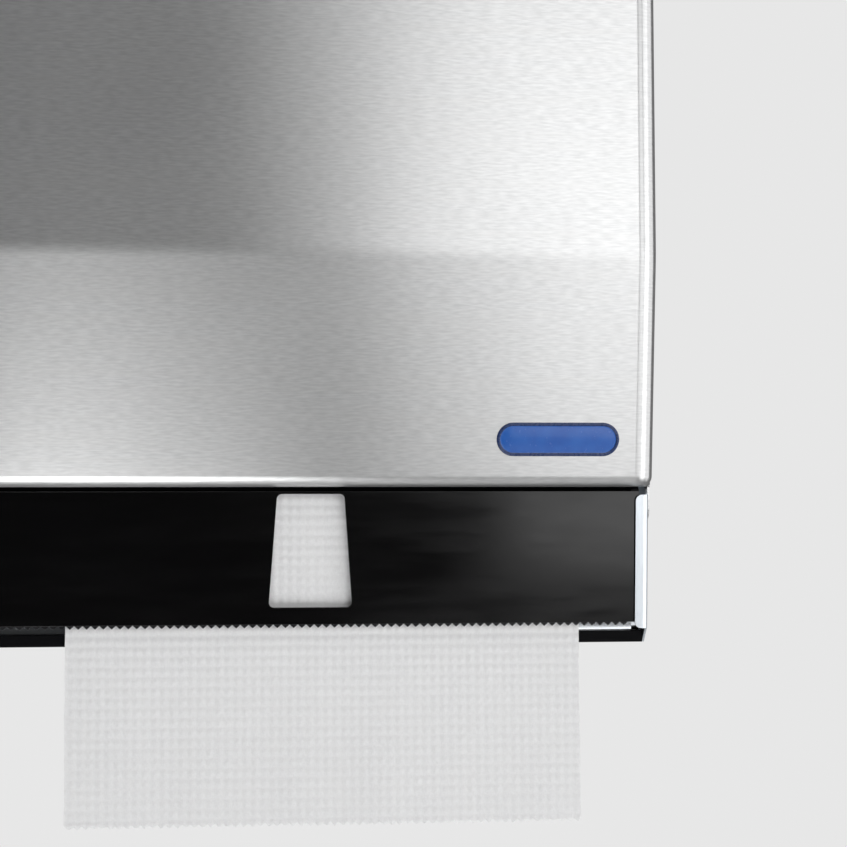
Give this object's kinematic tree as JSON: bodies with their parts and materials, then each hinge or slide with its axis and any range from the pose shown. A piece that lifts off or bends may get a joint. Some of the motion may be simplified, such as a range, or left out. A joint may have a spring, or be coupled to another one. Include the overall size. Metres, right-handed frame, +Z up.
{
  "type": "roll towel dispenser",
  "caption": "Wall-hung stainless roll towel dispenser: drop-front cover, black nose with a finger window and a serrated tear bar, roll held on sprung arms above two feed rollers.",
  "frame": {"origin": "centre of the four wall holes, on the back face of the back plate", "axes": "+X to the right seen from the front, +Y into the wall, +Z up; the front faces -Y"},
  "size_m": [0.2684, 0.229, 0.4717],
  "materials": {
    "stainless": "horizontally brushed, satin",
    "cabinet_steel": "satin stainless sheet with a bright folded edge",
    "zinc_steel": "zinc plated",
    "spring_steel": "bright drawn wire",
    "bright_steel": "ground and polished",
    "tear_steel": "black oxide with bright cutting edges",
    "black_gloss": "moulded, glossy black",
    "black_satin": "moulded, black, fine texture",
    "white_nylon": "moulded, natural white",
    "grey_nylon": "moulded, dark grey",
    "rubber": "matt, ground surface",
    "brass": "turned, satin",
    "badge_blue": "glossy blue enamel",
    "towel_paper": "soft white towelling paper, embossed in a fine grid",
    "core_board": "spiral-wound grey-brown board"
  },
  "bodies": {
    "cabinet": {"back_plate": "cabinet_steel", "side_panel_left": "cabinet_steel", "side_panel_right": "cabinet_steel", "tie_bar": "zinc_steel", "hinge_pin_left": "bright_steel", "hinge_pin_right": "bright_steel", "lock_keeper": "zinc_steel", "nose_panel": "black_gloss", "nose_screws": "bright_steel", "tear_bar": "tear_steel", "chute_plate": "cabinet_steel", "chute_lip": "black_satin", "chute_screws": "bright_steel", "arm_bracket_left": "zinc_steel", "arm_bracket_right": "zinc_steel", "bracket_rivets": "zinc_steel", "arm_pin_left": "bright_steel", "arm_pin_right": "bright_steel", "arm_spring_left": "spring_steel", "arm_spring_right": "spring_steel", "towel_sheet": "towel_paper", "feed_bushes": "white_nylon", "pinch_rod": "bright_steel", "pinch_springs": "spring_steel", "rod_clips": "spring_steel"},
    "cover": {"cover": "stainless", "badge": "badge_blue", "lock_body": "bright_steel", "lock_nut": "zinc_steel"},
    "lock": {"lock_plug": "brass", "lock_cam": "zinc_steel", "lock_cam_screw": "zinc_steel"},
    "roll": {"towel_roll": "towel_paper", "roll_core": "core_board"},
    "arm_left": {"roll_arm_left": "white_nylon", "hub_pin_left": "bright_steel"},
    "arm_right": {"roll_arm_right": "white_nylon", "hub_pin_right": "bright_steel"},
    "hub_left": {"roll_hub_left": "white_nylon"},
    "hub_right": {"roll_hub_right": "white_nylon"},
    "feed_roller": {"feed_shaft": "bright_steel", "feed_drum": "grey_nylon", "feed_tyres": "rubber", "shaft_clips": "spring_steel"},
    "pinch_frame": {"pinch_frame": "zinc_steel", "pinch_shaft": "bright_steel"},
    "pinch_roller": {"pinch_roller": "white_nylon"}
  },
  "joints": [
    {"name": "cover_hinge", "type": "hinge", "parent": "cabinet", "child": "cover", "pos_m": [0, -0.2, -0.147], "axis": [1, 0, 0], "range_deg": [0, 85]},
    {"name": "lock_turn", "type": "hinge", "parent": "cover", "child": "lock", "pos_m": [0, -0.04, 0.2], "axis": [0, 0, 1], "range_deg": [0, 90]},
    {"name": "roll_spin", "type": "hinge", "parent": "cabinet", "child": "roll", "pos_m": [0, -0.118, 0.072], "axis": [1, 0, 0], "continuous": true},
    {"name": "arm_left_swing", "type": "hinge", "parent": "cabinet", "child": "arm_left", "pos_m": [-0.0995, -0.014, 0.072], "axis": [0, 0, -1], "range_deg": [0, 7], "stiffness_Nm_per_rad": 0.5, "springref_deg": -17.19},
    {"name": "arm_right_swing", "type": "hinge", "parent": "cabinet", "child": "arm_right", "pos_m": [0.1115, -0.014, 0.072], "axis": [0, 0, 1], "range_deg": [0, 7], "stiffness_Nm_per_rad": 0.5, "springref_deg": -17.19},
    {"name": "hub_left_spin", "type": "hinge", "parent": "arm_left", "child": "hub_left", "pos_m": [-0.098, -0.118, 0.072], "axis": [1, 0, 0], "continuous": true},
    {"name": "hub_right_spin", "type": "hinge", "parent": "arm_right", "child": "hub_right", "pos_m": [0.11, -0.118, 0.072], "axis": [1, 0, 0], "continuous": true},
    {"name": "feed_spin", "type": "hinge", "parent": "cabinet", "child": "feed_roller", "pos_m": [0, -0.1877, -0.112], "axis": [1, 0, 0], "continuous": true},
    {"name": "pinch_swing", "type": "hinge", "parent": "cabinet", "child": "pinch_frame", "pos_m": [0, -0.213, -0.074], "axis": [-1, 0, 0], "range_deg": [0, 2.5], "stiffness_Nm_per_rad": 0.3, "springref_deg": -22.92},
    {"name": "pinch_spin", "type": "hinge", "parent": "pinch_frame", "child": "pinch_roller", "pos_m": [0, -0.2103, -0.112], "axis": [1, 0, 0], "continuous": true}
  ],
  "couplings": [
    {"joint": "hub_left_spin", "follows": "roll_spin", "ratio": 1},
    {"joint": "hub_right_spin", "follows": "roll_spin", "ratio": 1},
    {"joint": "feed_spin", "follows": "roll_spin", "ratio": 6.2667},
    {"joint": "pinch_spin", "follows": "roll_spin", "ratio": -14.462}
  ]
}
